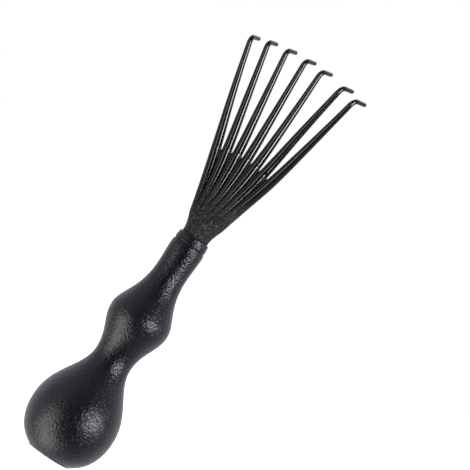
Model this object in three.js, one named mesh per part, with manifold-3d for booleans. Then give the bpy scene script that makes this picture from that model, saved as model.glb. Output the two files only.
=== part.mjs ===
// Cleaning rake for hair brushes: a turned wooden handle with a moulded nylon claw glued into its neck.
// Millimetres, +Z up along the axis. The origin is the centre of the flat foot, the tines fan out in
// the XZ plane, and their hooks point to +Y.

import * as THREE from "three";
import { mergeVertices } from "three/addons/utils/BufferGeometryUtils.js";
import Module from "manifold-3d";

// Handle: rings of the turned outline, from the foot up. The neck takes up what is left of the length.
const HANDLE_LENGTH = 71.6;
const FOOT_RADIUS = 6.55;
const FOOT_EDGE = 0.25;
const BULB_RADIUS = 12.85;
const FOOT_TO_BULB = 12.2;
const WAIST_RADIUS = 5.7;
const BULB_TO_WAIST = 19.65;
const BULGE_RADIUS = 9.05;
const WAIST_TO_BULGE = 12.75;
const NECK_RADIUS = 4.75;
const COLLAR_RADIUS = 5.0;
const NECK_TO_COLLAR = 7.0;
const COLLAR_TO_RIM = 4.0;
const RIM_RADIUS = 4.6;
const RIM_ROUNDING = 0.25;
const GROOVE_BELOW_RIM = 2.5;
const GROOVE_RING_RADIUS = 4.83;
const GROOVE_DEPTH = 0.25;

// Fullness of the turned curves: the part of the way below and above a ring for which the outline
// keeps to that ring. The bulb's curve leaves the foot on a slant, given as parts outwards and upwards.
const FOOT_SLANT = [0.4, 0.12];
const BULB_FULLNESS = [0.61, 0.455];
const WAIST_FULLNESS = [0.33, 0.44];
const BULGE_FULLNESS = [0.37, 0.265];
const NECK_FULLNESS = [0.56, 0.32];
const COLLAR_FULLNESS = 0.3;

// Tang of the claw, and the adhesive round it in the socket drilled into the neck.
const TANG_RADIUS = 2.75;
const TANG_LENGTH = 14.5;
const TANG_CHAMFER = 0.6;
const TANG_GROOVES = 3;
const TANG_GROOVE_DEPTH = 0.4;
const GLUE_THICKNESS = 0.45;
const GLUE_UNDER_TANG = 1.5;
const GLUE_BELOW_RIM = 0.8;
const GLUE_GAP = 0.08;
const DRILL_POINT_ANGLE = 118;

// Claw: shoulder on the rim, then a web that narrows in thickness up to the crotches.
const SEAT_GAP = 0.08;
const SHOULDER_STEP = 0.55;
const SHOULDER_HEIGHT = 1.2;
const SHOULDER_EDGE = 0.15;
const WEB_ROOT_INSET = 0.1;
const WEB_ROOT_HEIGHT = 6;
const WEB_THICKNESS = 1.1;
const WEB_THINNING_POWER = 2.2;
const WEB_EDGE_OUTSIDE_TINE = 0.57;
const WEB_EDGE_ROUNDNESS = 0.45;
const WEB_SQUARED_FROM = 0.6;
const RIDGE_HEIGHT = 0.5;
const RIDGE_ROOT_WIDTH = 2.4;
const RIDGE_START = 0.8;
const RIDGE_RUNOUT = 10;

// Tines: rays from a point inside the neck. The reaches are measured from that point.
const APEX_BELOW_RIM = 7.6;
const CROTCH_REACH = 32.7;
const ELBOW_REACH = 64.7;
const OUTER_TINE_EXTRA = 0.8;
const TINE_PITCH = 6.22;
const TINE_DRAW_IN = 0.32;
const TINE_ROOT_DIAMETER = 2.85;
const TINE_TIP_DIAMETER = 1.5;
const TINE_TAPER = 1.2;

// Each tine's tip stands this far to the side of its even place in the fan: one entry for each tine.
const TINE_SET = [1.1, 0.1, -0.1, 0, -0.55, 1.0, -0.2];

// The tines lean back a little above the crotches, then turn forward into their hooks.
const LEAN_ANGLE = 6.6;
const LEAN_START = 27.5;
const LEAN_END = 40.3;
const HOOK_LENGTH = 5.4;
const HOOK_ANGLE = 94;
const HOOK_BEND_RADIUS = 1.7;
const HOOK_SPLAY = 1.5;
const HOOK_DIAMETER = 1.3;
const HOOK_END_DIAMETER = 1.15;
const HOOK_END_ROUNDING = 0.25;

// Fineness of the faceted surfaces.
const HANDLE_SIDES = 40;
const TANG_SIDES = 24;
const CURVE_STEPS = 6;
const TINE_SIDES = 10;
const WEB_SIDES = 28;
const WEB_LEVELS = 7;
const RIDGE_STEPS = 6;
const SHAFT_STEPS = 6;
const BEND_STEPS = 4;
const DIRECTION_STEP = 0.05;

const TINE_COUNT = TINE_SET.length;
const RIM_HEIGHT = HANDLE_LENGTH;
const SOCKET_RADIUS = TANG_RADIUS + GLUE_THICKNESS;
const SOCKET_DEPTH = TANG_LENGTH + GLUE_UNDER_TANG;
const SHOULDER_RADIUS = RIM_RADIUS - SHOULDER_STEP;
const SEAT_HEIGHT = RIM_HEIGHT + SEAT_GAP;
const APEX_HEIGHT = RIM_HEIGHT - APEX_BELOW_RIM;
const CROTCH_HEIGHT = APEX_HEIGHT + CROTCH_REACH;

const wasm = await Module();
wasm.setup();

const radians = THREE.MathUtils.degToRad;
const smoothstep = THREE.MathUtils.smoothstep;

// Manifold solid of a closed geometry.
function solidOf(geometry) {
  const bare = geometry.clone();
  bare.deleteAttribute("normal");
  bare.deleteAttribute("uv");
  const welded = mergeVertices(bare, 1e-5);
  return new wasm.Manifold(new wasm.Mesh({
    numProp: 3,
    vertProperties: new Float32Array(welded.attributes.position.array),
    triVerts: new Uint32Array(welded.index.array),
  }));
}

// Geometry of a Manifold solid.
function geometryOf(solid) {
  const mesh = solid.getMesh();
  const geometry = new THREE.BufferGeometry();
  geometry.setAttribute("position", new THREE.BufferAttribute(mesh.vertProperties, 3));
  geometry.setIndex(new THREE.BufferAttribute(mesh.triVerts, 1));
  geometry.computeVertexNormals();
  return geometry;
}

// Body turned about Z from an outline of (radius, height) points that starts and ends on the axis,
// running up its outer side first.
function turned(points, sides) {
  const geometry = new THREE.LatheGeometry(points, sides);
  geometry.rotateX(Math.PI / 2);
  return geometry;
}

// Stretch of a turned outline between two rings where the wall runs parallel to the axis.
function swell(outline, radius, height, lowerFullness, upperFullness) {
  const from = outline.currentPoint.clone();
  const rise = height - from.y;
  outline.bezierCurveTo(
    from.x, from.y + lowerFullness * rise,
    radius, height - upperFullness * rise,
    radius, height,
  );
}

// Round groove in a turned outline, as wide as twice its depth.
function turnedGroove(outline, radius, height, depth) {
  outline.lineTo(radius, height - depth);
  outline.quadraticCurveTo(radius - 2 * depth, height, radius, height + depth);
}

function handleOutline() {
  const bulbHeight = FOOT_TO_BULB;
  const waistHeight = bulbHeight + BULB_TO_WAIST;
  const bulgeHeight = waistHeight + WAIST_TO_BULGE;
  const collarHeight = RIM_HEIGHT - COLLAR_TO_RIM;
  const neckHeight = collarHeight - NECK_TO_COLLAR;
  const grooveHeight = RIM_HEIGHT - GROOVE_BELOW_RIM;
  const drillPoint = SOCKET_RADIUS / Math.tan(radians(DRILL_POINT_ANGLE / 2));

  const outline = new THREE.Path();
  outline.moveTo(0, 0);
  outline.lineTo(FOOT_RADIUS - FOOT_EDGE, 0);
  outline.lineTo(FOOT_RADIUS, FOOT_EDGE);
  outline.bezierCurveTo(
    FOOT_RADIUS + FOOT_SLANT[0] * (BULB_RADIUS - FOOT_RADIUS), FOOT_SLANT[1] * bulbHeight,
    BULB_RADIUS, (1 - BULB_FULLNESS[0]) * bulbHeight,
    BULB_RADIUS, bulbHeight,
  );
  swell(outline, WAIST_RADIUS, waistHeight, BULB_FULLNESS[1], WAIST_FULLNESS[0]);
  swell(outline, BULGE_RADIUS, bulgeHeight, WAIST_FULLNESS[1], BULGE_FULLNESS[0]);
  swell(outline, NECK_RADIUS, neckHeight, BULGE_FULLNESS[1], NECK_FULLNESS[0]);
  swell(outline, COLLAR_RADIUS, collarHeight, NECK_FULLNESS[1], COLLAR_FULLNESS);
  turnedGroove(outline, GROOVE_RING_RADIUS, grooveHeight, GROOVE_DEPTH);
  outline.lineTo(RIM_RADIUS, RIM_HEIGHT - RIM_ROUNDING);
  outline.quadraticCurveTo(RIM_RADIUS, RIM_HEIGHT, RIM_RADIUS - RIM_ROUNDING, RIM_HEIGHT);
  outline.lineTo(SOCKET_RADIUS, RIM_HEIGHT);
  outline.lineTo(SOCKET_RADIUS, RIM_HEIGHT - SOCKET_DEPTH);
  outline.lineTo(0, RIM_HEIGHT - SOCKET_DEPTH - drillPoint);
  return outline;
}

// Side of the tang from its lower end up to a height, grown outwards by a margin. Round grooves run
// round it for the adhesive to key into.
function tangSide(outline, margin, top) {
  const bottom = RIM_HEIGHT - TANG_LENGTH;
  const spacing = TANG_LENGTH / (TANG_GROOVES + 1);
  const radius = TANG_RADIUS + margin;
  outline.lineTo(TANG_RADIUS - TANG_CHAMFER, bottom - margin);
  outline.lineTo(radius, bottom + TANG_CHAMFER);
  for (let k = 1; k <= TANG_GROOVES; k += 1) {
    turnedGroove(outline, radius, bottom + k * spacing, TANG_GROOVE_DEPTH - margin);
  }
  outline.lineTo(radius, top);
}

// Tang and shoulder in one turned body. The shoulder sits on the rim.
function tangOutline() {
  const outline = new THREE.Path();
  const shoulderTop = SEAT_HEIGHT + SHOULDER_HEIGHT;
  outline.moveTo(0, RIM_HEIGHT - TANG_LENGTH);
  tangSide(outline, 0, SEAT_HEIGHT);
  outline.lineTo(SHOULDER_RADIUS - SHOULDER_EDGE, SEAT_HEIGHT);
  outline.quadraticCurveTo(
    SHOULDER_RADIUS, SEAT_HEIGHT,
    SHOULDER_RADIUS, SEAT_HEIGHT + SHOULDER_EDGE,
  );
  outline.lineTo(SHOULDER_RADIUS, shoulderTop);
  outline.lineTo(0, shoulderTop);
  return outline;
}

// Cup of adhesive: the tang's own outline on its inside, then back down the drilled socket.
function adhesiveOutline() {
  const top = RIM_HEIGHT - GLUE_BELOW_RIM;
  const outerRadius = SOCKET_RADIUS - GLUE_GAP;
  const drillPoint = outerRadius / Math.tan(radians(DRILL_POINT_ANGLE / 2));
  const socketBottom = RIM_HEIGHT - SOCKET_DEPTH;
  const outline = new THREE.Path();
  outline.moveTo(0, RIM_HEIGHT - TANG_LENGTH - GLUE_GAP);
  tangSide(outline, GLUE_GAP, top);
  outline.lineTo(outerRadius, top);
  outline.lineTo(outerRadius, socketBottom);
  outline.lineTo(0, socketBottom - drillPoint);
  return outline;
}

// Closed body through rings of points that all turn the same way, with a fan over each end.
function loft(rings) {
  const sides = rings[0].length;
  const positions = rings.flat().flatMap((point) => point.toArray());
  const index = [];
  for (let k = 0; k + 1 < rings.length; k += 1) {
    for (let j = 0; j < sides; j += 1) {
      const a = k * sides + j;
      const b = k * sides + ((j + 1) % sides);
      index.push(a, b, b + sides);
      index.push(a, b + sides, a + sides);
    }
  }
  const last = (rings.length - 1) * sides;
  for (let j = 1; j + 1 < sides; j += 1) {
    index.push(0, j + 1, j);
    index.push(last, last + j, last + j + 1);
  }
  const geometry = new THREE.BufferGeometry();
  geometry.setAttribute("position", new THREE.Float32BufferAttribute(positions, 3));
  geometry.setIndex(index);
  return geometry;
}

// How far back the fan stands at a reach from the apex: nothing up to LEAN_START, then a bend up to
// LEAN_END, then a straight lean.
function leanBack(reach) {
  const slope = Math.tan(radians(LEAN_ANGLE));
  const span = LEAN_END - LEAN_START;
  const inBend = THREE.MathUtils.clamp(reach - LEAN_START, 0, span);
  const beyond = Math.max(reach - LEAN_END, 0);
  return slope * ((inBend * inBend) / (2 * span) + beyond);
}

// Centre of a tine at a reach from the apex. Place 0 is the middle of the fan.
function tineCentre(tine, reach) {
  const place = tine - (TINE_COUNT - 1) / 2;
  const angle = radians(place * (TINE_PITCH - (TINE_DRAW_IN * reach) / ELBOW_REACH));
  const along = Math.max(reach - CROTCH_REACH, 0) / (ELBOW_REACH - CROTCH_REACH);
  return new THREE.Vector3(
    reach * Math.sin(angle) + TINE_SET[tine] * along * along,
    -leanBack(reach),
    APEX_HEIGHT + reach * Math.cos(angle),
  );
}

// Diameter of a tine, which tapers quickly above the crotch and slowly near the elbow.
function tineDiameter(reach) {
  const left = THREE.MathUtils.clamp((ELBOW_REACH - reach) / (ELBOW_REACH - CROTCH_REACH), 0, 1);
  return TINE_TIP_DIAMETER + (TINE_ROOT_DIAMETER - TINE_TIP_DIAMETER) * left ** TINE_TAPER;
}

// Half thickness of the web in its middle: round as the shoulder at the root, a plate at the crotch.
function webHalfThickness(height) {
  const left = THREE.MathUtils.clamp((CROTCH_HEIGHT - height) / (CROTCH_HEIGHT - SEAT_HEIGHT), 0, 1);
  return WEB_THICKNESS / 2 + (SHOULDER_RADIUS - WEB_THICKNESS / 2) * left ** WEB_THINNING_POWER;
}

// Half width of the web: as the shoulder at the root, then just inside the outer tines' outer sides.
function webHalfWidth(height) {
  const outer = tineCentre(TINE_COUNT - 1, height - APEX_HEIGHT).x + WEB_EDGE_OUTSIDE_TINE;
  const root = Math.max(SHOULDER_RADIUS - WEB_ROOT_INSET, outer);
  const settle = smoothstep(height, SEAT_HEIGHT, SEAT_HEIGHT + WEB_ROOT_HEIGHT);
  return THREE.MathUtils.lerp(root, outer, settle);
}

// Web between the tines, without its ridges: rounded oblong sections whose tops bow up into the arc
// on which the crotches lie.
function webBody() {
  const start = SEAT_HEIGHT + SHOULDER_EDGE;
  const outerAngle = radians(((TINE_COUNT - 1) / 2) * TINE_PITCH);
  const arcDrop = CROTCH_REACH * (1 - Math.cos(outerAngle));
  const rings = [];
  for (let k = 0; k <= WEB_LEVELS; k += 1) {
    const part = k / WEB_LEVELS;
    const height = THREE.MathUtils.lerp(start, CROTCH_HEIGHT, part);
    const halfWidth = webHalfWidth(height);
    const halfThickness = webHalfThickness(height);
    const back = leanBack(height - APEX_HEIGHT);
    const squared = smoothstep(part, 0, WEB_SQUARED_FROM);
    const roundness = THREE.MathUtils.lerp(1, WEB_EDGE_ROUNDNESS, squared);
    const ring = [];
    for (let j = 0; j < WEB_SIDES; j += 1) {
      const turn = (2 * Math.PI * j) / WEB_SIDES;
      const across = Math.sign(Math.cos(turn)) * Math.abs(Math.cos(turn)) ** roundness;
      const through = Math.sign(Math.sin(turn)) * Math.abs(Math.sin(turn)) ** roundness;
      ring.push(new THREE.Vector3(
        halfWidth * across,
        halfThickness * through - back,
        height - arcDrop * part * across * across,
      ));
    }
    rings.push(ring);
  }
  return loft(rings);
}

// Ring of a tine: an ellipse across its direction, with one half axis along side.
function tineRing(centre, direction, side, halfWidth, halfDepth) {
  const across = side.clone().addScaledVector(direction, -side.dot(direction)).normalize();
  const through = new THREE.Vector3().crossVectors(direction, across);
  const ring = [];
  for (let j = 0; j < TINE_SIDES; j += 1) {
    const turn = (2 * Math.PI * j) / TINE_SIDES;
    ring.push(centre.clone()
      .addScaledVector(across, halfWidth * Math.cos(turn))
      .addScaledVector(through, halfDepth * Math.sin(turn)));
  }
  return ring;
}

// Half depth of a ridge: it rises out of the rounded web as it leaves the root, and is never less
// than the tine's own.
function ridgeHalfDepth(tine, reach) {
  const centre = tineCentre(tine, reach);
  const part = Math.abs(centre.x) / webHalfWidth(centre.z);
  const round = Math.sqrt(Math.max(1 - part * part, 0));
  const rise = smoothstep(centre.z, SEAT_HEIGHT, SEAT_HEIGHT + RIDGE_RUNOUT);
  const proud = webHalfThickness(centre.z) * round + RIDGE_HEIGHT * rise;
  return Math.max(proud, tineDiameter(reach) / 2);
}

// One tine from its ridge on the web to the end of its hook.
function tineBody(tine) {
  const place = tine - (TINE_COUNT - 1) / 2;
  const fanSide = new THREE.Vector3(1, 0, 0);
  const rings = [];

  // Ridge and shaft, up to where the bend starts. The outer tines are a little longer.
  const outness = Math.abs(place) / ((TINE_COUNT - 1) / 2);
  const elbowReach = ELBOW_REACH + OUTER_TINE_EXTRA * outness * outness;
  const rootReach = SEAT_HEIGHT + SHOULDER_EDGE + RIDGE_START - APEX_HEIGHT;
  const bendStart = elbowReach - HOOK_BEND_RADIUS;
  const reaches = [];
  for (let k = 0; k < RIDGE_STEPS; k += 1) {
    reaches.push(THREE.MathUtils.lerp(rootReach, CROTCH_REACH, k / RIDGE_STEPS));
  }
  for (let k = 0; k <= SHAFT_STEPS; k += 1) {
    reaches.push(THREE.MathUtils.lerp(CROTCH_REACH, bendStart, k / SHAFT_STEPS));
  }
  const directionAt = (reach) => tineCentre(tine, reach + DIRECTION_STEP)
    .sub(tineCentre(tine, reach - DIRECTION_STEP)).normalize();
  for (const reach of reaches) {
    const widen = smoothstep(reach, rootReach, CROTCH_REACH);
    const halfWidth = THREE.MathUtils.lerp(RIDGE_ROOT_WIDTH, tineDiameter(reach), widen) / 2;
    const halfDepth = ridgeHalfDepth(tine, reach);
    const shaft = reach >= CROTCH_REACH;
    const depth = shaft ? halfWidth : halfDepth;
    rings.push(tineRing(tineCentre(tine, reach), directionAt(reach), fanSide, halfWidth, depth));
  }

  // Bend in the plane of the shaft and the hook, then the straight hook.
  const start = tineCentre(tine, bendStart);
  const shaftWay = directionAt(bendStart);
  const splay = radians(place * HOOK_SPLAY);
  const square = new THREE.Vector3(Math.sin(splay), Math.cos(splay), 0);
  square.addScaledVector(shaftWay, -square.dot(shaftWay)).normalize();
  const side = new THREE.Vector3().crossVectors(square, shaftWay);
  const fullTurn = radians(180 - HOOK_ANGLE);
  const bendCentre = start.clone().addScaledVector(square, HOOK_BEND_RADIUS);
  const way = new THREE.Vector3();
  const bendEnd = new THREE.Vector3();
  for (let k = 1; k <= BEND_STEPS; k += 1) {
    const turn = fullTurn * (k / BEND_STEPS);
    way.copy(shaftWay).multiplyScalar(Math.cos(turn)).addScaledVector(square, Math.sin(turn));
    bendEnd.copy(bendCentre)
      .addScaledVector(square, -HOOK_BEND_RADIUS * Math.cos(turn))
      .addScaledVector(shaftWay, HOOK_BEND_RADIUS * Math.sin(turn));
    const radius = THREE.MathUtils.lerp(TINE_TIP_DIAMETER, HOOK_DIAMETER, k / BEND_STEPS) / 2;
    rings.push(tineRing(bendEnd, way, side, radius, radius));
  }
  const straight = HOOK_LENGTH - HOOK_BEND_RADIUS;
  const endRadius = HOOK_END_DIAMETER / 2;
  const shoulder = bendEnd.clone().addScaledVector(way, straight - HOOK_END_ROUNDING);
  const tip = bendEnd.clone().addScaledVector(way, straight);
  const tipRadius = endRadius - HOOK_END_ROUNDING;
  rings.push(tineRing(shoulder, way, side, endRadius, endRadius));
  rings.push(tineRing(tip, way, side, tipRadius, tipRadius));
  return loft(rings);
}

function rakeHead() {
  const tang = turned(tangOutline().getPoints(CURVE_STEPS), TANG_SIDES);
  let solid = solidOf(tang).add(solidOf(webBody()));
  for (let tine = 0; tine < TINE_COUNT; tine += 1) {
    solid = solid.add(solidOf(tineBody(tine)));
  }
  return geometryOf(solid);
}

const lacqueredWood = new THREE.MeshStandardMaterial({ color: 0x1b1c1f, roughness: 0.38, metalness: 0 });
const blackNylon = new THREE.MeshStandardMaterial({ color: 0x1d1d1e, roughness: 0.45, metalness: 0 });
const curedAdhesive = new THREE.MeshStandardMaterial({ color: 0xcfc08a, roughness: 0.3, metalness: 0 });

function piece(name, geometry, material) {
  const mesh = new THREE.Mesh(geometry, material);
  mesh.name = name;
  return mesh;
}

const rake = new THREE.Group();
rake.name = "brush_cleaning_rake";
const handlePoints = handleOutline().getPoints(CURVE_STEPS);
const adhesivePoints = adhesiveOutline().getPoints(CURVE_STEPS).reverse();
rake.add(piece("handle", turned(handlePoints, HANDLE_SIDES), lacqueredWood));
rake.add(piece("rake_head", rakeHead(), blackNylon));
rake.add(piece("socket_adhesive", turned(adhesivePoints, TANG_SIDES), curedAdhesive));

export default rake;
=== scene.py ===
"""Looks of a hair brush cleaning rake: a lacquered turned handle and a moulded nylon claw of thin tines.

Sizes are in millimetres, and are turned to metres as each mesh is made. +Z runs up the handle's axis,
the tines fan out along X, and their hooks point to +Y.
"""

import math

import bmesh
import bpy
import numpy as np
from mathutils import Matrix, Vector


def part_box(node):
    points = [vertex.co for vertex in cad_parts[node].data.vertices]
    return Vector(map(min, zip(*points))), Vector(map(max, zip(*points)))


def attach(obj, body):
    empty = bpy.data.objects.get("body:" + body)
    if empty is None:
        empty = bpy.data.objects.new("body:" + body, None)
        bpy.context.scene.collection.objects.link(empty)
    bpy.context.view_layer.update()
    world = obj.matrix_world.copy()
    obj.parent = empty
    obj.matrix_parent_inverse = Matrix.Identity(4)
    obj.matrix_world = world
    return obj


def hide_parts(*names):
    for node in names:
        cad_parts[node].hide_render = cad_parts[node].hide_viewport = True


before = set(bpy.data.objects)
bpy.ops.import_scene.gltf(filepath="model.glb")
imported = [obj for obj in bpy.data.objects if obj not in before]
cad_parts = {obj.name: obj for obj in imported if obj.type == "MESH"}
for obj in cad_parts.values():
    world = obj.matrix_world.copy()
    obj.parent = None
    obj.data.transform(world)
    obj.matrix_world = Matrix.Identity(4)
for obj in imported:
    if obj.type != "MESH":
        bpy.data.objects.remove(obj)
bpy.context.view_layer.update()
handle_low, handle_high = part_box("handle")

MM = 0.001

# Camera, in metres: level with the neck and behind the fan, whose hooks point away from it. It looks
# thirty degrees off square, and is rolled so that the tool leans over.
CAMERA_AZIMUTH = math.radians(30)
CAMERA_ROLL = math.radians(33.95)
CAMERA_DISTANCE = 0.8
CAMERA_AIM_HEIGHT = 0.0784
CAMERA_AIM_ACROSS = 0.0087
CAMERA_FIELD = 0.1284
SENSOR_WIDTH = 36

# Handle, ring by ring from the foot up.
RIM_HEIGHT = handle_high.z / MM
FOOT_RADIUS = 6.55
FOOT_EDGE = 0.25
BULB_RADIUS = 12.85
BULB_HEIGHT = 12.2
WAIST_RADIUS = 5.7
WAIST_HEIGHT = BULB_HEIGHT + 19.65
BULGE_RADIUS = 9.05
BULGE_HEIGHT = WAIST_HEIGHT + 12.75
NECK_RADIUS = 4.75
NECK_HEIGHT = RIM_HEIGHT - 11.0
COLLAR_RADIUS = 5.0
COLLAR_HEIGHT = RIM_HEIGHT - 4.0
GROOVE_RADIUS = 4.83
GROOVE_HEIGHT = RIM_HEIGHT - 2.5
GROOVE_DEPTH = 0.25
GROOVE_HALF_WIDTH = 0.3
RIM_RADIUS = 4.6
RIM_ROUNDING = 0.25
SOCKET_RADIUS = 3.2
SOCKET_DEPTH = 16.0
DRILL_POINT = 1.92
FOOT_SLANT = (0.4, 0.12)
BULB_FULLNESS = (0.61, 0.455)
WAIST_FULLNESS = (0.33, 0.44)
BULGE_FULLNESS = (0.37, 0.265)
NECK_FULLNESS = (0.56, 0.32)
COLLAR_FULLNESS = 0.3
ROUND_PULL = 0.56
HANDLE_SIDES = 192

# Claw: tang, shoulder and web.
SEAT_HEIGHT = RIM_HEIGHT + 0.01
SHOULDER_RADIUS = 4.05
SHOULDER_HEIGHT = 1.2
SHOULDER_EDGE = 0.15
TANG_RADIUS = 2.75
TANG_LENGTH = 14.5
TANG_CHAMFER = 0.6
WEB_HALF_THICKNESS = 0.8
WEB_THINNING_POWER = 2.2
WEB_ROOT_HEIGHT = 6.0
WEB_SQUARENESS = 0.6
WEB_SQUARED_FROM = 0.6
RIDGE_HEIGHT = 0.35
RIDGE_ROOT_HALF_WIDTH = 1.2
RIDGE_RUNOUT = 7.0
RIDGE_ROOT_DROP = 0.22
RIDGE_ROUND_FROM = 14.0
RIDGE_ROUND_TO = 28.0
RIDGE_FOOT_SOFTNESS = 0.01
POCKET_LENGTH = 2.6
POCKET_DEPTH = 0.3
VALLEY_HALF_THICKNESS = 0.45

# Tines: reaches are measured from the point where all their lines meet.
APEX_HEIGHT = RIM_HEIGHT - 7.6
CROTCH_REACH = 32.7
ELBOW_REACH = 64.7
OUTER_TINE_EXTRA = 0.8
TINE_PITCH = 6.22
TINE_DRAW_IN = 0.32
TINE_ROOT_RADIUS = 1.425
TINE_TIP_RADIUS = 0.75
TINE_TAPER = 1.2
TINE_SET = np.array([1.1, 0.1, -0.1, 0, -0.55, 1.0, -0.2])
PLACES = np.arange(7) - 3.0
LEAN_SLOPE = math.tan(math.radians(6.6))
LEAN_START = 27.5
LEAN_END = 40.3
NOTCH_LENGTH = 0.6
ROUNDING_LENGTH = 1.6
HOOK_LENGTH = 5.4
HOOK_ANGLE = 94
HOOK_TURN = math.radians(180 - HOOK_ANGLE)
HOOK_BEND_RADIUS = 1.7
HOOK_SPLAY = 1.5
HOOK_RADIUS = 0.65
HOOK_END_RADIUS = 0.575
HOOK_END_ROUNDING = 0.42

# Fineness of the claw: columns across each face and down each side, and rings along its lengths.
FACE_COLUMNS = 20
SIDE_COLUMNS = 8
WEB_RINGS = 90
SHAFT_RINGS = 72
ELBOW_RINGS = 18
HOOK_RINGS = 10
CAP_RINGS = 8

# Nylon: dull and grained up to the first height, smooth and glossy from the second, in metres.
DULL_UP_TO = 0.08
GLOSSY_FROM = 0.0905

# Studio, in metres.
FLOOR_REACH = 9
LIT_POINT = Vector((0, 0, 0.06))


def smooth(value, low, high):
    """Three squares less two cubes of the value's place between low and high, held to 0 and 1."""
    part = np.clip((value - low) / (high - low), 0, 1)
    return part * part * (3 - 2 * part)


def blend(start, end, weight):
    return start + (end - start) * weight


def dot(first, second):
    return np.sum(first * second, axis=-1, keepdims=True)


def unit(vector):
    return vector / np.linalg.norm(vector, axis=-1, keepdims=True)


# Camera

def add_camera():
    """Camera at a set distance from its aim point, with its sides turned about its line of sight."""
    level = Vector((math.cos(CAMERA_AZIMUTH), math.sin(CAMERA_AZIMUTH), 0))
    forward = Vector((-math.sin(CAMERA_AZIMUTH), math.cos(CAMERA_AZIMUTH), 0))
    upright = Vector((0, 0, 1))
    right = math.cos(CAMERA_ROLL) * level + math.sin(CAMERA_ROLL) * upright
    up = math.cos(CAMERA_ROLL) * upright - math.sin(CAMERA_ROLL) * level
    aim = CAMERA_AIM_HEIGHT * upright + CAMERA_AIM_ACROSS * level
    data = bpy.data.cameras.new("camera")
    data.sensor_width = SENSOR_WIDTH
    data.lens = SENSOR_WIDTH * CAMERA_DISTANCE / CAMERA_FIELD
    data.clip_start = 0.01
    data.clip_end = 100
    camera = bpy.data.objects.new("camera", data)
    place = Matrix((right, up, -forward)).transposed().to_4x4()
    place.translation = aim - CAMERA_DISTANCE * forward
    camera.matrix_world = place
    bpy.context.scene.collection.objects.link(camera)
    bpy.context.scene.camera = camera


# Meshes

def grid_faces(rows, columns, start=0):
    """Quads between neighbouring rows and columns of a grid whose last column meets its first."""
    row = np.arange(rows - 1)[:, None]
    column = np.arange(columns)[None, :]
    after = (column + 1) % columns
    corners = [row * columns + column, row * columns + after]
    corners += [(row + 1) * columns + after, (row + 1) * columns + column]
    return np.stack(corners, axis=-1).reshape(-1, 4) + start


def mesh_piece(name, points, faces, slot, node):
    """Smooth piece from points in millimetres. Points that coincide are welded and faces turned out."""
    mesh = bpy.data.meshes.new(name)
    mesh.from_pydata((points * MM).tolist(), [], faces.tolist())
    shell = bmesh.new()
    shell.from_mesh(mesh)
    bmesh.ops.remove_doubles(shell, verts=shell.verts, dist=5e-7)
    bmesh.ops.recalc_face_normals(shell, faces=shell.faces)
    shell.to_mesh(mesh)
    shell.free()
    mesh.shade_smooth()
    piece = bpy.data.objects.new(name, mesh)
    bpy.context.scene.collection.objects.link(piece)
    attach(piece, "root")
    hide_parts(node)
    return piece


def line(start, end, count):
    """Evenly spaced points from start to end."""
    return blend(np.array(start, float), np.array(end, float), np.linspace(0, 1, count)[:, None])


def bezier(controls, count):
    """Cubic Bezier curve: each control point weighted by its Bernstein polynomial."""
    a, b, c, d = np.array(controls, float)
    t = np.linspace(0, 1, count)[:, None]
    return (1 - t) ** 3 * a + 3 * (1 - t) ** 2 * t * b + 3 * (1 - t) * t ** 2 * c + t ** 3 * d


def swell(low_radius, low_height, high_radius, high_height, low_fullness, high_fullness, count):
    """Outline between two rings, along the axis at both: each fullness holds it to its own ring."""
    rise = high_height - low_height
    return bezier([
        (low_radius, low_height),
        (low_radius, low_height + low_fullness * rise),
        (high_radius, high_height - high_fullness * rise),
        (high_radius, high_height),
    ], count)


def rounded(corner, start, end, count):
    """Quarter round: a Bezier curve from start to end that is drawn towards the corner."""
    start, corner, end = (np.array(p, float) for p in (start, corner, end))
    return bezier([start, blend(start, corner, ROUND_PULL), blend(end, corner, ROUND_PULL), end], count)


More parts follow.
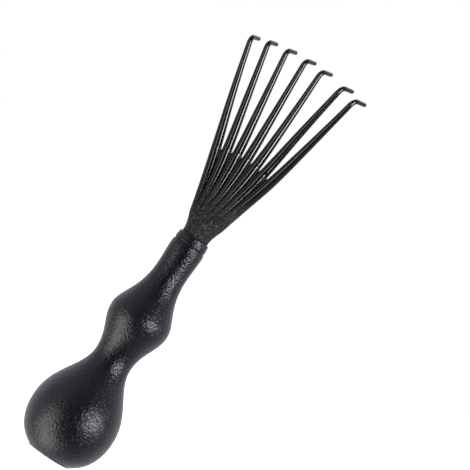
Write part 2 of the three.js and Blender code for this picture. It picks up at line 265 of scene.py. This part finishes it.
def handle_outline():
    """Radius and height along the handle: foot, bulb, waist, bulge, neck, collar, groove, rim, bore."""
    foot_top = (FOOT_RADIUS, FOOT_EDGE)
    bulb = bezier([
        foot_top,
        (FOOT_RADIUS + FOOT_SLANT[0] * (BULB_RADIUS - FOOT_RADIUS), FOOT_SLANT[1] * BULB_HEIGHT),
        (BULB_RADIUS, (1 - BULB_FULLNESS[0]) * BULB_HEIGHT),
        (BULB_RADIUS, BULB_HEIGHT),
    ], 44)
    angle = np.linspace(-1, 1, 15)[:, None] * math.pi
    groove = np.hstack([
        GROOVE_RADIUS - GROOVE_DEPTH * (1 + np.cos(angle)) / 2,
        GROOVE_HEIGHT + GROOVE_HALF_WIDTH * angle / math.pi,
    ])
    socket_bottom = RIM_HEIGHT - SOCKET_DEPTH
    return np.vstack([
        line((0, 0), (FOOT_RADIUS - FOOT_EDGE, 0), 12),
        rounded((FOOT_RADIUS, 0), (FOOT_RADIUS - FOOT_EDGE, 0), foot_top, 6),
        bulb,
        swell(BULB_RADIUS, BULB_HEIGHT, WAIST_RADIUS, WAIST_HEIGHT,
              BULB_FULLNESS[1], WAIST_FULLNESS[0], 64),
        swell(WAIST_RADIUS, WAIST_HEIGHT, BULGE_RADIUS, BULGE_HEIGHT,
              WAIST_FULLNESS[1], BULGE_FULLNESS[0], 44),
        swell(BULGE_RADIUS, BULGE_HEIGHT, NECK_RADIUS, NECK_HEIGHT,
              BULGE_FULLNESS[1], NECK_FULLNESS[0], 50),
        swell(NECK_RADIUS, NECK_HEIGHT, COLLAR_RADIUS, COLLAR_HEIGHT,
              NECK_FULLNESS[1], COLLAR_FULLNESS, 20),
        line((COLLAR_RADIUS, COLLAR_HEIGHT), groove[0], 6),
        groove,
        line(groove[-1], (RIM_RADIUS, RIM_HEIGHT - RIM_ROUNDING), 6),
        rounded((RIM_RADIUS, RIM_HEIGHT), (RIM_RADIUS, RIM_HEIGHT - RIM_ROUNDING),
                (RIM_RADIUS - RIM_ROUNDING, RIM_HEIGHT), 8),
        line((RIM_RADIUS - RIM_ROUNDING, RIM_HEIGHT), (SOCKET_RADIUS, RIM_HEIGHT), 4),
        line((SOCKET_RADIUS, RIM_HEIGHT), (SOCKET_RADIUS, socket_bottom), 12),
        line((SOCKET_RADIUS, socket_bottom), (0, socket_bottom - DRILL_POINT), 4),
    ])


def turned(outline, sides):
    """Points of an outline of radius and height carried round Z."""
    turn = np.linspace(0, 2 * math.pi, sides, endpoint=False)
    radius, height = outline[:, :1], outline[:, 1:]
    rings = [radius * np.cos(turn), radius * np.sin(turn), np.broadcast_to(height, (len(outline), sides))]
    return np.stack(rings, axis=-1).reshape(-1, 3)


def lean_back(reach):
    """How far the fan stands back: a parabola from the bend's start, then a straight lean."""
    bend = LEAN_END - LEAN_START
    inside = np.clip(reach - LEAN_START, 0, bend)
    return LEAN_SLOPE * (inside ** 2 / (2 * bend) + np.maximum(reach - LEAN_END, 0))


def tine_angle(place, reach):
    """Angle from the axis: a tine's place in the fan times a pitch that draws in along its reach."""
    return np.radians(place * (TINE_PITCH - TINE_DRAW_IN * reach / ELBOW_REACH))


def tine_shift(settle, reach):
    """Sideways set of a tine, growing with the square of the way from crotch to elbow."""
    return settle * (np.maximum(reach - CROTCH_REACH, 0) / (ELBOW_REACH - CROTCH_REACH)) ** 2


def tine_centre(place, settle, reach):
    """Point on a tine's line: reach and angle about the apex, shifted by its set and leant back."""
    angle = tine_angle(place, reach)
    across = reach * np.sin(angle) + tine_shift(settle, reach)
    return np.stack([across, -lean_back(reach), APEX_HEIGHT + reach * np.cos(angle)], axis=-1)


def tine_radius(reach):
    """Radius of a tine: it tapers by a power of the way left to the elbow."""
    left = np.clip((ELBOW_REACH - reach) / (ELBOW_REACH - CROTCH_REACH), 0, 1)
    return blend(TINE_TIP_RADIUS, TINE_ROOT_RADIUS, left ** TINE_TAPER)


def ring_columns():
    """Angle, place across and level of each column round a tine: front, right side, back, left side."""
    quarter = math.pi / 4
    faces = np.linspace(3 * quarter, quarter, FACE_COLUMNS + 1)
    sides = np.linspace(quarter, -quarter, SIDE_COLUMNS + 1)[1:-1]
    turn = np.concatenate([faces, sides, faces - math.pi, sides - math.pi])
    across = np.clip(np.cos(turn) / math.cos(quarter), -1, 1)
    level = np.clip(np.sin(turn) / math.sin(quarter), -1, 1)
    return turn, across, level


COLUMN_TURN, COLUMN_ACROSS, COLUMN_LEVEL = ring_columns()


def web_cells(reach):
    """Rings of the seven cells that make the web, and of the lowest part of the tines above it.

    A point lies at its reach and angle about the apex. Its depth is that of the web's crown, less a
    drop that grows as half a circle does from the cell's middle to its edges, so that a ridge is left
    in the middle. The outer cells end in half an ellipse. Near the root the rings turn into the
    shoulder's circle. Above the crotch each cell draws in to its tine.
    """
    place = PLACES[:, None, None]
    settle = TINE_SET[:, None, None]
    reach = reach[None, :, None]
    turn = COLUMN_TURN[None, None, :]
    across = COLUMN_ACROSS[None, None, :]
    level = COLUMN_LEVEL[None, None, :]

    # Half widths: half the pitch in the web, and the tine's own radius above the rounded notch.
    half_pitch = reach * np.radians(TINE_PITCH - TINE_DRAW_IN * reach / ELBOW_REACH) / 2
    own = tine_radius(reach)
    opened = np.clip((reach - CROTCH_REACH) / NOTCH_LENGTH, 0, 1)
    notch = np.sqrt(1 - (1 - opened) ** 2)
    half_width = blend(half_pitch, np.minimum(own, half_pitch), notch)
    widen = smooth(reach, SEAT_HEIGHT + SHOULDER_EDGE - APEX_HEIGHT, CROTCH_REACH)
    rod = np.where(reach > CROTCH_REACH, own, blend(RIDGE_ROOT_HALF_WIDTH, own, widen))

    # Crown: the rounded oblong section through the tops of the ridges, never thinner than a tine.
    seat = SEAT_HEIGHT - APEX_HEIGHT
    root = seat + SHOULDER_HEIGHT
    left = np.clip((CROTCH_REACH - reach) / (CROTCH_REACH - root), 0, 1)
    thickness = blend(WEB_HALF_THICKNESS, SHOULDER_RADIUS, left ** WEB_THINNING_POWER)
    part = np.clip((reach - root) / (CROTCH_REACH - root), 0, 1)
    power = 2 / blend(1, WEB_SQUARENESS, smooth(part, 0, WEB_SQUARED_FROM))
    edge = reach * np.sin(tine_angle(3.0, reach)) + rod
    runout = smooth(reach, seat, seat + RIDGE_RUNOUT)

    def crown(turned_by):
        """Half thickness at an angle: the greater of section and tine, blended by sixth powers."""
        share = np.minimum(np.abs(reach * np.sin(turned_by)) / edge, 0.999)
        section = thickness * (1 - share ** power) ** (1 / power) + RIDGE_HEIGHT * runout
        return (section ** 6 + TINE_ROOT_RADIUS ** 6) ** (1 / 6)

    # Ridge: the upper half of a rod below the crown, softened where it meets the valley.
    centre_angle = tine_angle(place, reach)
    angle = centre_angle + across * half_width / reach
    top = crown(centre_angle)
    fall = blend(RIDGE_ROOT_DROP * runout, top, smooth(reach, RIDGE_ROUND_FROM, RIDGE_ROUND_TO))
    spread = np.minimum(rod / half_width, 1.0)
    bow = 1 - (across / spread) ** 2
    softened = np.sqrt((bow + np.sqrt(bow ** 2 + RIDGE_FOOT_SOFTNESS)) / 2)
    pocket = smooth(reach, CROTCH_REACH - POCKET_LENGTH, CROTCH_REACH) * POCKET_DEPTH
    drop = (fall + pocket) * (1 - softened)
    valley = crown(angle) - drop
    depth = (np.maximum(valley, 0) ** 4 + VALLEY_HALF_THICKNESS ** 4) ** 0.25

    # Front and back follow the depth, and sides run straight between their edges.
    faces = np.abs(np.sin(turn)) >= math.sin(math.pi / 4) - 1e-9
    shift = tine_shift(settle, reach)
    x = reach * np.sin(angle) + shift
    y = np.where(faces, np.sign(np.sin(turn)), level) * depth
    z = APEX_HEIGHT + reach * np.cos(angle)

    # Outer halves of the outer cells: half an ellipse about the tine's line.
    outer = ((place == 3) & (np.cos(turn) > 1e-9)) | ((place == -3) & (np.cos(turn) < -1e-9))
    side_angle = centre_angle + np.cos(turn) * rod / reach
    x = np.where(outer, reach * np.sin(side_angle) + shift, x)
    y = np.where(outer, top * np.sin(turn), y)
    z = np.where(outer, APEX_HEIGHT + reach * np.cos(side_angle), z)

    # Root: the section turns into the shoulder's circle.
    settled = smooth(reach, root, root + WEB_ROOT_HEIGHT)
    side = np.clip(x / edge, -1, 1)
    x = blend(np.maximum(SHOULDER_RADIUS, edge) * side, x, settled)
    y = blend(thickness * np.sqrt(1 - side ** 2) * np.sign(np.sin(turn)), y, settled)
    z = blend(APEX_HEIGHT + reach, z, settled)
    return np.stack(np.broadcast_arrays(x, y - lean_back(reach), z), axis=-1)


def tube(centre, across, through, radius):
    """Circles round centres, in the plane of two directions: cosine along one, sine along the other."""
    turn = COLUMN_TURN[:, None]
    ring = np.cos(turn) * across[..., None, :] + np.sin(turn) * through[..., None, :]
    return centre[..., None, :] + radius[..., None, None] * ring


def tine_rings():
    """Rings of every tine from crotch to hook end.

    The shaft's circles grow out of the web's cells. The elbow is an arc in the plane of the shaft and
    the hook, then the hook runs straight and its end is rounded by a quarter of an ellipse.
    """
    place = PLACES[:, None]
    settle = TINE_SET[:, None]
    outness = np.abs(place) / 3
    bend_start = ELBOW_REACH + OUTER_TINE_EXTRA * outness ** 2 - HOOK_BEND_RADIUS
    along = np.linspace(0, 1, SHAFT_RINGS)[None, :] ** 1.6
    reach = blend(CROTCH_REACH, bend_start, along)
    centre = tine_centre(place, settle, reach)
    step = 0.05
    way = unit(tine_centre(place, settle, reach + step) - tine_centre(place, settle, reach - step))
    fan = np.array([1.0, 0, 0])
    across = unit(fan - dot(way, fan) * way)
    through = np.cross(way, across)
    circles = tube(centre, across, through, tine_radius(reach))
    cells = np.stack([web_cells(reach[k])[k] for k in range(len(PLACES))])
    rounding = smooth(reach, CROTCH_REACH, CROTCH_REACH + ROUNDING_LENGTH)[..., None, None]
    shaft = blend(cells, circles, rounding)

    start, shaft_way = centre[:, -1:], way[:, -1:]
    splay = np.radians(place * HOOK_SPLAY)
    ahead = np.stack([np.sin(splay), np.cos(splay), np.zeros_like(splay)], axis=-1)
    square = unit(ahead - dot(ahead, shaft_way) * shaft_way)
    side = np.cross(square, shaft_way)
    part = np.linspace(0, 1, ELBOW_RINGS + 1)[1:]
    turn = (HOOK_TURN * part)[None, :, None]
    bend_centre = start + HOOK_BEND_RADIUS * square
    arc = bend_centre + HOOK_BEND_RADIUS * (np.sin(turn) * shaft_way - np.cos(turn) * square)
    arc_way = np.cos(turn) * shaft_way + np.sin(turn) * square
    arc_side = np.broadcast_to(side, arc.shape)
    arc_radius = np.broadcast_to(blend(TINE_TIP_RADIUS, HOOK_RADIUS, part), arc.shape[:2])
    elbow = tube(arc, arc_side, np.cross(arc_way, arc_side), arc_radius)

    straight = HOOK_LENGTH - HOOK_BEND_RADIUS
    body = np.linspace(0, 1, HOOK_RINGS + 1)[1:] * (straight - HOOK_END_ROUNDING)
    body_radius = blend(HOOK_RADIUS, HOOK_END_RADIUS, body / straight)
    cap_turn = np.linspace(0, math.pi / 2, CAP_RINGS + 1)[1:]
    cap = straight - HOOK_END_ROUNDING * (1 - np.sin(cap_turn))
    cap_radius = HOOK_END_RADIUS * np.maximum(np.cos(cap_turn), 0)
    cap_radius[-1] = 0
    out = np.concatenate([body, cap])[None, :, None]
    end_way = arc_way[:, -1:]
    hook_centre = arc[:, -1:] + out * end_way
    hook_side = np.broadcast_to(side, hook_centre.shape)
    hook_radius = np.broadcast_to(np.concatenate([body_radius, cap_radius]), hook_centre.shape[:2])
    hook = tube(hook_centre, hook_side, np.cross(end_way, hook_side), hook_radius)
    return np.concatenate([shaft, elbow, hook], axis=1)


def tang_outline():
    """Radius and height from the shoulder's top down to the tang's end: edge, seat, side, chamfer."""
    seat_inner = SHOULDER_RADIUS - SHOULDER_EDGE
    bottom = RIM_HEIGHT - TANG_LENGTH
    return np.vstack([
        line((SHOULDER_RADIUS, SEAT_HEIGHT + SHOULDER_HEIGHT),
             (SHOULDER_RADIUS, SEAT_HEIGHT + SHOULDER_EDGE), 5)[1:],
        rounded((SHOULDER_RADIUS, SEAT_HEIGHT), (SHOULDER_RADIUS, SEAT_HEIGHT + SHOULDER_EDGE),
                (seat_inner, SEAT_HEIGHT), 7),
        line((seat_inner, SEAT_HEIGHT), (TANG_RADIUS, SEAT_HEIGHT), 4),
        line((TANG_RADIUS, SEAT_HEIGHT), (TANG_RADIUS, bottom + TANG_CHAMFER), 8),
        line((TANG_RADIUS - TANG_CHAMFER, bottom), (0, bottom), 4),
    ])


def web_and_tang():
    """One closed skin: the cells' front columns, outer side, back columns and other outer side."""
    root = SEAT_HEIGHT + SHOULDER_HEIGHT - APEX_HEIGHT
    cells = web_cells(blend(root, CROTCH_REACH, np.linspace(0, 1, WEB_RINGS)))
    front = np.arange(FACE_COLUMNS + 1)
    right = np.arange(FACE_COLUMNS + 1, FACE_COLUMNS + SIDE_COLUMNS)
    back = front + FACE_COLUMNS + SIDE_COLUMNS
    left = right + FACE_COLUMNS + SIDE_COLUMNS
    strips = [cells[k][:, front] for k in range(len(PLACES))]
    strips += [cells[-1][:, right]]
    strips += [cells[k][:, back] for k in reversed(range(len(PLACES)))]
    strips += [cells[0][:, left]]
    skin = np.concatenate(strips, axis=1)
    turn = np.arctan2(skin[0, :, 1], skin[0, :, 0])
    outline = tang_outline()[::-1]
    radius, height = outline[:, :1], outline[:, 1:]
    tang = np.stack([radius * np.cos(turn), radius * np.sin(turn),
                     np.broadcast_to(height, (len(outline), len(turn)))], axis=-1)
    return np.concatenate([tang, skin], axis=0)


def claw_mesh():
    """Points and faces of the web with its tang, then of each tine."""
    skin = web_and_tang()
    points = [skin.reshape(-1, 3)]
    faces = [grid_faces(*skin.shape[:2])]
    start = len(points[0])
    for rings in tine_rings():
        points.append(rings.reshape(-1, 3))
        faces.append(grid_faces(*rings.shape[:2], start=start))
        start += len(points[-1])
    return np.concatenate(points), np.concatenate(faces)


# Finishes

class Wire:
    """A shader socket whose sums and products add Math nodes."""

    def __init__(self, finish, socket):
        self.finish = finish
        self.socket = socket

    def __add__(self, other):
        return self.finish.maths("ADD", self, other)

    def __radd__(self, other):
        return self.finish.maths("ADD", other, self)

    def __mul__(self, other):
        return self.finish.maths("MULTIPLY", self, other)

    def __rmul__(self, other):
        return self.finish.maths("MULTIPLY", other, self)


class Finish:
    """The nodes of a material or of the world."""

    def __init__(self, owner):
        owner.use_nodes = True
        self.tree = owner.node_tree
        self.tree.nodes.clear()

    def node(self, kind, settings=None, values=None, output=0):
        """Adds a node: its settings first, then the value or link of each socket."""
        made = self.tree.nodes.new(kind)
        for key, value in (settings or {}).items():
            setattr(made, key, value)
        for key, value in (values or {}).items():
            if isinstance(value, Wire):
                self.tree.links.new(value.socket, made.inputs[key])
            else:
                made.inputs[key].default_value = value
        return None if output is None else Wire(self, made.outputs[output])

    def maths(self, operation, first, second):
        return self.node("ShaderNodeMath", {"operation": operation}, {0: first, 1: second})

    def coordinates(self, output):
        return self.node("ShaderNodeTexCoord", output=output)

    def noise(self, place, scale, detail=2, roughness=0.5):
        values = {"Vector": place, "Scale": scale, "Detail": detail, "Roughness": roughness}
        return self.node("ShaderNodeTexNoise", None, values)

    def step(self, value, low, high):
        """Smooth change from 0 to 1 as a value goes from low to high."""
        settings = {"interpolation_type": "SMOOTHSTEP"}
        return self.node("ShaderNodeMapRange", settings, {"Value": value, "From Min": low, "From Max": high})

    def mix(self, weight, first, second):
        """Colour between two colours, each one a socket or its red, green and blue."""
        first, second = [end if isinstance(end, Wire) else (*end, 1) for end in (first, second)]
        values = {"Factor": weight, 6: first, 7: second}
        return self.node("ShaderNodeMix", {"data_type": "RGBA"}, values, output=2)

    def bump(self, height, depth, strength=1.0, under=None):
        """Normal of a surface that rises by a depth in millimetres where the height goes from 0 to 1."""
        values = {"Height": height, "Distance": depth * MM, "Strength": strength}
        if under:
            values["Normal"] = under
        return self.node("ShaderNodeBump", None, values)

    def principled(self, values):
        return self.node("ShaderNodeBsdfPrincipled", None, values)


def make_material(name, shader_of):
    """Material with the shader that a function makes from its nodes and its Object coordinates."""
    material = bpy.data.materials.new(name)
    finish = Finish(material)
    shader = shader_of(finish, finish.coordinates("Object"))
    finish.node("ShaderNodeOutputMaterial", None, {"Surface": shader}, output=None)
    return material


def lacquer(finish, place):
    """Black lacquer over turned wood: open grain along the axis, orange peel and fine pits."""
    stretch = {0: place, 1: (900, 900, 45)}
    along_grain = finish.node("ShaderNodeVectorMath", {"operation": "MULTIPLY"}, stretch)
    grain = finish.noise(along_grain, 1, 4, 0.6)
    swell = finish.noise(place, 600)
    peel = finish.noise(place, 1650, 2, 0.6)
    cloud = finish.noise(place, 120, 3)
    pores = finish.step(grain, 0.58, 0.7)
    pitted = finish.step(peel, 0.45, 0.65)
    black = finish.mix(cloud, (0.005, 0.0053, 0.0065), (0.0085, 0.009, 0.0105))
    surface = finish.bump(grain, 0.06, 0.5)
    surface = finish.bump(swell, 0.05, 1.0, surface)
    return finish.principled({
        "Base Color": finish.mix(pores * 0.5, black, (0.003, 0.003, 0.0035)),
        "Roughness": 0.14 + 0.03 * cloud + 0.15 * pitted,
        "Normal": finish.bump(peel, 0.21, 1.0, surface),
    })


def nylon(finish, place):
    """Black moulded nylon: the web is finely grained and dull, the tines are smooth and glossy."""
    grain = finish.noise(place, 1500, 2, 0.6)
    cloud = finish.noise(place, 200)
    raised = finish.step(grain, 0.5, 0.62)
    black = finish.mix(cloud, (0.003, 0.003, 0.003), (0.005, 0.005, 0.005))
    dull_web = finish.principled({
        "Base Color": finish.mix(raised, black, (0.027, 0.027, 0.027)),
        "Roughness": 0.4 + 0.1 * grain,
        "Normal": finish.bump(grain, 0.8),
        "Specular IOR Level": 0.24,
    })
    glossy_tines = finish.principled({
        "Base Color": finish.mix(cloud, (0.001, 0.001, 0.001), (0.003, 0.003, 0.003)),
        "Roughness": 0.13 + 0.05 * cloud,
        "Normal": finish.bump(finish.noise(place, 900), 0.01),
    })
    height = finish.node("ShaderNodeSeparateXYZ", None, {0: place}, output="Z")
    tines = finish.step(height, DULL_UP_TO, GLOSSY_FROM)
    return finish.node("ShaderNodeMixShader", None, {0: tines, 1: dull_web, 2: glossy_tines})


def adhesive(finish, place):
    """Cured amber adhesive with fine bubbles."""
    bubbles = finish.noise(place, 2500)
    return finish.principled({
        "Base Color": finish.mix(bubbles, (0.5, 0.4, 0.17), (0.7, 0.6, 0.34)),
        "Roughness": 0.18 + 0.15 * bubbles,
        "Normal": finish.bump(bubbles, 0.04, 0.5),
    })


def pale_floor(finish, place):
    """Pale matt floor with a little glow of its own, so that it stays even."""
    tone = finish.noise(place, 3)
    return finish.principled({
        "Base Color": finish.mix(tone, (0.86, 0.86, 0.86), (0.9, 0.9, 0.9)),
        "Roughness": 0.9,
        "Emission Color": (1, 1, 1, 1),
        "Emission Strength": 0.95,
    })


# Studio

def add_floor():
    """Large flat floor at the foot's height. It is seen, but throws neither light nor shadow."""
    sides = [(-1, -1), (1, -1), (1, 1), (-1, 1)]
    corners = [(x * FLOOR_REACH, y * FLOOR_REACH, handle_low.z) for x, y in sides]
    mesh = bpy.data.meshes.new("floor")
    mesh.from_pydata(corners, [], [(0, 1, 2, 3)])
    mesh.materials.append(make_material("pale_floor", pale_floor))
    floor = bpy.data.objects.new("floor", mesh)
    bpy.context.scene.collection.objects.link(floor)
    floor.visible_glossy = False
    floor.visible_diffuse = False
    floor.visible_shadow = False


def add_light(name, azimuth, elevation, distance, size, radiance, colour, onto=None):
    """Soft light that faces the tool's middle, from a direction given from that of the camera.

    A light that is screened off to fall onto one piece only is given that piece.
    """
    turn = CAMERA_AZIMUTH + math.radians(azimuth)
    rise = math.radians(elevation)
    back = Vector((math.sin(turn) * math.cos(rise), -math.cos(turn) * math.cos(rise), math.sin(rise)))
    data = bpy.data.lights.new(name, "AREA")
    data.shape = "RECTANGLE"
    data.size, data.size_y = size
    data.energy = radiance * math.pi * size[0] * size[1]
    data.color = colour
    light = bpy.data.objects.new(name, data)
    light.location = LIT_POINT + distance * back
    light.rotation_mode = "QUATERNION"
    light.rotation_quaternion = back.to_track_quat("Z", "Y")
    light.visible_camera = False
    bpy.context.scene.collection.objects.link(light)
    if onto:
        screened = bpy.data.collections.new(name + "_falls_onto")
        screened.objects.link(onto)
        light.light_linking.receiver_collection = screened


def add_world():
    """White where it is looked at directly, and a dimmer grey as light, lighter behind the tool."""
    world = bpy.data.worlds.new("studio")
    studio = Finish(world)
    forward = (-math.sin(CAMERA_AZIMUTH), math.cos(CAMERA_AZIMUTH), 0)
    facing = {0: studio.coordinates("Generated"), 1: forward}
    ahead = studio.node("ShaderNodeVectorMath", {"operation": "DOT_PRODUCT"}, facing, output="Value")
    ramp = {"Value": ahead, "From Min": -0.95, "From Max": 0.6, "To Min": 0.04, "To Max": 0.75}
    strength = studio.node("ShaderNodeMapRange", None, ramp)
    lit = studio.node("ShaderNodeBackground", None, {"Color": (0.94, 0.97, 1.04, 1), "Strength": strength})
    seen = studio.node("ShaderNodeBackground", None, {"Color": (1, 1, 1, 1)})
    looked_at = studio.node("ShaderNodeLightPath", output="Is Camera Ray")
    both = studio.node("ShaderNodeMixShader", None, {0: looked_at, 1: lit, 2: seen})
    studio.node("ShaderNodeOutputWorld", None, {"Surface": both}, output=None)
    bpy.context.scene.world = world


def build():
    """The two fine pieces, and the finish of the adhesive, which keeps its CAD body."""
    outline = handle_outline()
    handle = mesh_piece("turned_handle", turned(outline, HANDLE_SIDES),
                        grid_faces(len(outline), HANDLE_SIDES), "lacquered_wood", "handle")
    handle.data.materials.append(make_material("lacquered_wood", lacquer))
    claw = mesh_piece("moulded_claw", *claw_mesh(), "nylon", "rake_head")
    claw.data.materials.append(make_material("moulded_nylon", nylon))
    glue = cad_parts["socket_adhesive"]
    glue.data.materials.clear()
    glue.data.materials.append(make_material("cured_adhesive", adhesive))
    return handle, claw


def add_lights(handle, claw):
    """A key for each piece, an edge light for the tines, and soft fills from the left, side and top."""
    add_light("key_light", azimuth=50, elevation=10, distance=0.9, size=(0.42, 0.27),
              radiance=17, colour=(0.9, 0.92, 1.0), onto=handle)
    add_light("claw_key_light", azimuth=43, elevation=9, distance=0.9, size=(0.22, 0.8),
              radiance=26, colour=(0.95, 0.97, 1.0), onto=claw)
    add_light("claw_edge_light", azimuth=-34, elevation=-8, distance=0.9, size=(0.16, 1.2),
              radiance=6, colour=(1.0, 1.0, 1.0), onto=claw)
    add_light("fill_light", azimuth=-52, elevation=-49, distance=0.8, size=(0.62, 1.16),
              radiance=3, colour=(1.0, 0.99, 0.98))
    add_light("side_light", azimuth=-58, elevation=5, distance=1.0, size=(0.9, 1.3),
              radiance=0.26, colour=(0.9, 0.95, 1.1), onto=handle)
    add_light("top_light", azimuth=150, elevation=60, distance=1.2, size=(0.8, 0.8),
              radiance=1.5, colour=(1.0, 1.0, 1.0))


add_camera()
add_floor()
add_world()
add_lights(*build())
bpy.context.scene.view_settings.view_transform = "Standard"
